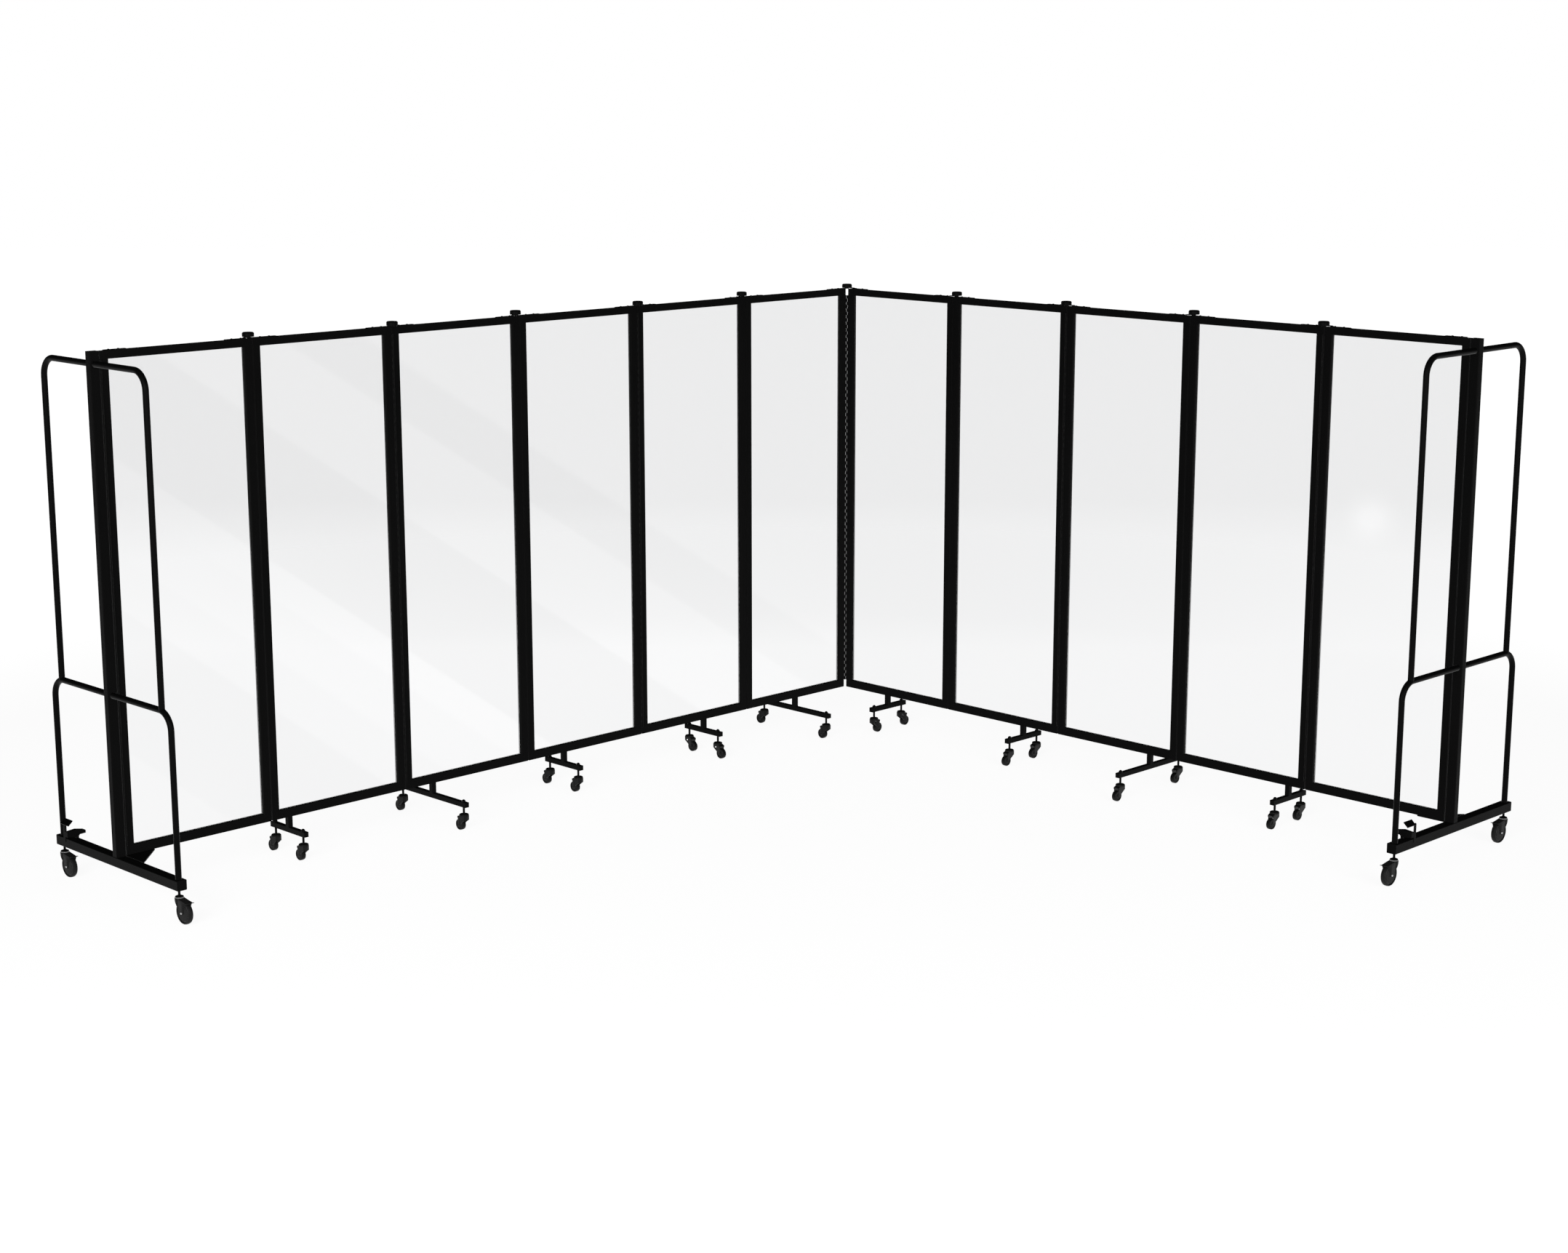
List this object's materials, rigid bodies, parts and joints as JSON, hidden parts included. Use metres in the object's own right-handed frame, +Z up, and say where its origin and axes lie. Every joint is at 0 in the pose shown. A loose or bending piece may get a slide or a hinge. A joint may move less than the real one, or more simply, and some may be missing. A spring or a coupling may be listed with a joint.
{
  "type": "room divider",
  "caption": "Folding room divider: clear framed panels on full-height strip hinges, set in a V between two wheeled end frames, with casters on short feet.",
  "frame": {"origin": "on the floor under the middle of the overall box", "axes": "X along the width to the viewer's right, Y away from the viewer with the V open towards -Y, Z up"},
  "size_m": [4.937, 2.6941, 1.789],
  "materials": {
    "frame_paint": "satin near-black paint",
    "clear_pane": "clear polished sheet",
    "caster_grey": "dark grey moulded plastic",
    "fork_steel": "dark grey painted pressed steel",
    "wheel_rubber": "dark grey rubber tread"
  },
  "bodies": {
    "panel_1": {"frame_1": "frame_paint", "pane_1": "clear_pane"},
    "panel_2": {"frame_2": "frame_paint", "pane_2": "clear_pane"},
    "panel_3": {"frame_3": "frame_paint", "pane_3": "clear_pane"},
    "panel_4": {"frame_4": "frame_paint", "pane_4": "clear_pane"},
    "panel_5": {"frame_5": "frame_paint", "pane_5": "clear_pane"},
    "panel_6": {"frame_6": "frame_paint", "pane_6": "clear_pane"},
    "panel_7": {"frame_7": "frame_paint", "pane_7": "clear_pane"},
    "panel_8": {"frame_8": "frame_paint", "pane_8": "clear_pane"},
    "panel_9": {"frame_9": "frame_paint", "pane_9": "clear_pane"},
    "panel_10": {"frame_10": "frame_paint", "pane_10": "clear_pane"},
    "panel_11": {"frame_11": "frame_paint", "pane_11": "clear_pane"},
    "end_left": {"base_left": "frame_paint", "post_left": "frame_paint", "hoops_left": "frame_paint"},
    "end_right": {"base_right": "frame_paint", "post_right": "frame_paint", "hoops_right": "frame_paint"},
    "caster_2a": {"caster_2a": "caster_grey"},
    "caster_2b": {"caster_2b": "caster_grey"},
    "caster_3a": {"caster_3a": "caster_grey"},
    "caster_3b": {"caster_3b": "caster_grey"},
    "caster_4a": {"caster_4a": "caster_grey"},
    "caster_4b": {"caster_4b": "caster_grey"},
    "caster_5a": {"caster_5a": "caster_grey"},
    "caster_5b": {"caster_5b": "caster_grey"},
    "caster_6a": {"caster_6a": "caster_grey"},
    "caster_6b": {"caster_6b": "caster_grey"},
    "caster_7a": {"caster_7a": "caster_grey"},
    "caster_7b": {"caster_7b": "caster_grey"},
    "caster_8a": {"caster_8a": "caster_grey"},
    "caster_8b": {"caster_8b": "caster_grey"},
    "caster_9a": {"caster_9a": "caster_grey"},
    "caster_9b": {"caster_9b": "caster_grey"},
    "caster_10a": {"caster_10a": "caster_grey"},
    "caster_10b": {"caster_10b": "caster_grey"},
    "latch_left": {"latch_left": "frame_paint"},
    "fork_left_a": {"fork_left_a": "fork_steel"},
    "wheel_left_a": {"wheel_left_a": "wheel_rubber"},
    "brake_left_a": {"brake_left_a": "fork_steel"},
    "fork_left_b": {"fork_left_b": "fork_steel"},
    "wheel_left_b": {"wheel_left_b": "wheel_rubber"},
    "brake_left_b": {"brake_left_b": "fork_steel"},
    "latch_right": {"latch_right": "frame_paint"},
    "fork_right_a": {"fork_right_a": "fork_steel"},
    "wheel_right_a": {"wheel_right_a": "wheel_rubber"},
    "brake_right_a": {"brake_right_a": "fork_steel"},
    "fork_right_b": {"fork_right_b": "fork_steel"},
    "wheel_right_b": {"wheel_right_b": "wheel_rubber"},
    "brake_right_b": {"brake_right_b": "fork_steel"}
  },
  "joints": [
    {"name": "hinge_5", "type": "hinge", "parent": "panel_6", "child": "panel_5", "pos_m": [-0.21605, 0.95169, 0.1415], "axis": [0, 0, -1], "range_deg": [0, 176]},
    {"name": "hinge_4", "type": "hinge", "parent": "panel_5", "child": "panel_4", "pos_m": [-0.59291, 0.538, 0.1415], "axis": [0, 0, 1], "range_deg": [0, 176]},
    {"name": "hinge_3", "type": "hinge", "parent": "panel_4", "child": "panel_3", "pos_m": [-1.00659, 0.16114, 0.1415], "axis": [0, 0, -1], "range_deg": [0, 176]},
    {"name": "hinge_2", "type": "hinge", "parent": "panel_3", "child": "panel_2", "pos_m": [-1.38345, -0.25255, 0.1415], "axis": [0, 0, 1], "range_deg": [0, 176]},
    {"name": "hinge_1", "type": "hinge", "parent": "panel_2", "child": "panel_1", "pos_m": [-1.79714, -0.62941, 0.1415], "axis": [0, 0, -1], "range_deg": [0, 176]},
    {"name": "corner_hinge", "type": "hinge", "parent": "panel_6", "child": "panel_7", "pos_m": [0.19764, 1.32854, 0.1415], "axis": [0, 0, -1], "range_deg": [-90, 80]},
    {"name": "hinge_7", "type": "hinge", "parent": "panel_7", "child": "panel_8", "pos_m": [0.61132, 0.95169, 0.1415], "axis": [0, 0, 1], "range_deg": [0, 176]},
    {"name": "hinge_8", "type": "hinge", "parent": "panel_8", "child": "panel_9", "pos_m": [0.98818, 0.538, 0.1415], "axis": [0, 0, -1], "range_deg": [0, 176]},
    {"name": "hinge_9", "type": "hinge", "parent": "panel_9", "child": "panel_10", "pos_m": [1.40187, 0.16114, 0.1415], "axis": [0, 0, 1], "range_deg": [0, 176]},
    {"name": "hinge_10", "type": "hinge", "parent": "panel_10", "child": "panel_11", "pos_m": [1.77873, -0.25255, 0.1415], "axis": [0, 0, -1], "range_deg": [0, 176]},
    {"name": "end_hinge_left", "type": "hinge", "parent": "panel_1", "child": "end_left", "pos_m": [-2.174, -1.04309, 0.1415], "axis": [0, 0, 1], "range_deg": [0, 90]},
    {"name": "end_hinge_right", "type": "hinge", "parent": "panel_11", "child": "end_right", "pos_m": [2.19241, -0.62941, 0.1415], "axis": [0, 0, 1], "range_deg": [0, 90]},
    {"name": "swivel_2a", "type": "hinge", "parent": "panel_2", "child": "caster_2a", "pos_m": [-1.67897, -0.6442, 0.0624], "axis": [0, 0, 1], "continuous": true},
    {"name": "swivel_2b", "type": "hinge", "parent": "panel_2", "child": "caster_2b", "pos_m": [-1.79352, -0.52965, 0.0624], "axis": [0, 0, 1], "continuous": true},
    {"name": "swivel_3a", "type": "hinge", "parent": "panel_3", "child": "caster_3a", "pos_m": [-1.17982, -0.27983, 0.0624], "axis": [0, 0, 1], "continuous": true},
    {"name": "swivel_3b", "type": "hinge", "parent": "panel_3", "child": "caster_3b", "pos_m": [-1.42915, -0.0305, 0.0624], "axis": [0, 0, 1], "continuous": true},
    {"name": "swivel_4a", "type": "hinge", "parent": "panel_4", "child": "caster_4a", "pos_m": [-0.81545, 0.21932, 0.0624], "axis": [0, 0, 1], "continuous": true},
    {"name": "swivel_4b", "type": "hinge", "parent": "panel_4", "child": "caster_4b", "pos_m": [-0.93, 0.33387, 0.0624], "axis": [0, 0, 1], "continuous": true},
    {"name": "swivel_5a", "type": "hinge", "parent": "panel_5", "child": "caster_5a", "pos_m": [-0.31072, 0.72405, 0.0624], "axis": [0, 0, 1], "continuous": true},
    {"name": "swivel_5b", "type": "hinge", "parent": "panel_5", "child": "caster_5b", "pos_m": [-0.42527, 0.8386, 0.0624], "axis": [0, 0, 1], "continuous": true},
    {"name": "swivel_6a", "type": "hinge", "parent": "panel_6", "child": "caster_6a", "pos_m": [0.11546, 1.01545, 0.0624], "axis": [0, 0, 1], "continuous": true},
    {"name": "swivel_6b", "type": "hinge", "parent": "panel_6", "child": "caster_6b", "pos_m": [-0.13387, 1.26478, 0.0624], "axis": [0, 0, 1], "continuous": true},
    {"name": "swivel_7a", "type": "hinge", "parent": "panel_7", "child": "caster_7a", "pos_m": [0.31072, 1.11933, 0.0624], "axis": [0, 0, 1], "continuous": true},
    {"name": "swivel_7b", "type": "hinge", "parent": "panel_7", "child": "caster_7b", "pos_m": [0.42527, 1.23388, 0.0624], "axis": [0, 0, 1], "continuous": true},
    {"name": "swivel_8a", "type": "hinge", "parent": "panel_8", "child": "caster_8a", "pos_m": [0.81545, 0.61459, 0.0624], "axis": [0, 0, 1], "continuous": true},
    {"name": "swivel_8b", "type": "hinge", "parent": "panel_8", "child": "caster_8b", "pos_m": [0.93, 0.72914, 0.0624], "axis": [0, 0, 1], "continuous": true},
    {"name": "swivel_9a", "type": "hinge", "parent": "panel_9", "child": "caster_9a", "pos_m": [1.17982, 0.11545, 0.0624], "axis": [0, 0, 1], "continuous": true},
    {"name": "swivel_9b", "type": "hinge", "parent": "panel_9", "child": "caster_9b", "pos_m": [1.42915, 0.36477, 0.0624], "axis": [0, 0, 1], "continuous": true},
    {"name": "swivel_10a", "type": "hinge", "parent": "panel_10", "child": "caster_10a", "pos_m": [1.67897, -0.24893, 0.0624], "axis": [0, 0, 1], "continuous": true},
    {"name": "swivel_10b", "type": "hinge", "parent": "panel_10", "child": "caster_10b", "pos_m": [1.79352, -0.13437, 0.0624], "axis": [0, 0, 1], "continuous": true},
    {"name": "latch_pedal_left", "type": "hinge", "parent": "end_left", "child": "latch_left", "pos_m": [-2.39286, -0.83625, 0.1462], "axis": [0.7071, -0.7071, 0], "range_deg": [0, 7], "stiffness_Nm_per_rad": 0.6, "springref_deg": -5.73},
    {"name": "swivel_left_a", "type": "hinge", "parent": "end_left", "child": "fork_left_a", "pos_m": [-1.95163, -1.29375, 0.093], "axis": [0, 0, 1], "continuous": true},
    {"name": "roll_left_a", "type": "hinge", "parent": "fork_left_a", "child": "wheel_left_a", "pos_m": [-1.93254, -1.31284, 0.0375], "axis": [0.7071, 0.7071, 0], "continuous": true},
    {"name": "brake_pedal_left_a", "type": "hinge", "parent": "fork_left_a", "child": "brake_left_a", "pos_m": [-1.93395, -1.31143, 0.085], "axis": [0.7071, 0.7071, 0], "range_deg": [0, 18], "stiffness_Nm_per_rad": 0.15, "springref_deg": -5.73},
    {"name": "swivel_left_b", "type": "hinge", "parent": "end_left", "child": "fork_left_b", "pos_m": [-2.44307, -0.80231, 0.093], "axis": [0, 0, 1], "continuous": true},
    {"name": "roll_left_b", "type": "hinge", "parent": "fork_left_b", "child": "wheel_left_b", "pos_m": [-2.42398, -0.8214, 0.0375], "axis": [0.7071, 0.7071, 0], "continuous": true},
    {"name": "brake_pedal_left_b", "type": "hinge", "parent": "fork_left_b", "child": "brake_left_b", "pos_m": [-2.42539, -0.81999, 0.085], "axis": [0.7071, 0.7071, 0], "range_deg": [0, 18], "stiffness_Nm_per_rad": 0.15, "springref_deg": -5.73},
    {"name": "latch_pedal_right", "type": "hinge", "parent": "end_right", "child": "latch_right", "pos_m": [1.99264, -0.8412, 0.1462], "axis": [0.7071, 0.7071, 0], "range_deg": [0, 7], "stiffness_Nm_per_rad": 0.6, "springref_deg": -5.73},
    {"name": "swivel_right_a", "type": "hinge", "parent": "end_right", "child": "fork_right_a", "pos_m": [2.44307, -0.40703, 0.093], "axis": [0, 0, 1], "continuous": true},
    {"name": "roll_right_a", "type": "hinge", "parent": "fork_right_a", "child": "wheel_right_a", "pos_m": [2.42398, -0.42613, 0.0375], "axis": [0.7071, -0.7071, 0], "continuous": true},
    {"name": "brake_pedal_right_a", "type": "hinge", "parent": "fork_right_a", "child": "brake_right_a", "pos_m": [2.42539, -0.42471, 0.085], "axis": [0.7071, -0.7071, 0], "range_deg": [0, 18], "stiffness_Nm_per_rad": 0.15, "springref_deg": -5.73},
    {"name": "swivel_right_b", "type": "hinge", "parent": "end_right", "child": "fork_right_b", "pos_m": [1.95163, -0.89847, 0.093], "axis": [0, 0, 1], "continuous": true},
    {"name": "roll_right_b", "type": "hinge", "parent": "fork_right_b", "child": "wheel_right_b", "pos_m": [1.93254, -0.91757, 0.0375], "axis": [0.7071, -0.7071, 0], "continuous": true},
    {"name": "brake_pedal_right_b", "type": "hinge", "parent": "fork_right_b", "child": "brake_right_b", "pos_m": [1.93395, -0.91615, 0.085], "axis": [0.7071, -0.7071, 0], "range_deg": [0, 18], "stiffness_Nm_per_rad": 0.15, "springref_deg": -5.73}
  ],
  "couplings": [
    {"joint": "hinge_4", "follows": "hinge_5", "ratio": 1},
    {"joint": "hinge_3", "follows": "hinge_5", "ratio": 1},
    {"joint": "hinge_2", "follows": "hinge_5", "ratio": 1},
    {"joint": "hinge_1", "follows": "hinge_5", "ratio": 1},
    {"joint": "hinge_8", "follows": "hinge_7", "ratio": 1},
    {"joint": "hinge_9", "follows": "hinge_7", "ratio": 1},
    {"joint": "hinge_10", "follows": "hinge_7", "ratio": 1},
    {"joint": "end_hinge_left", "follows": "hinge_5", "ratio": 0.51136},
    {"joint": "end_hinge_right", "follows": "hinge_7", "ratio": 0.51136}
  ]
}
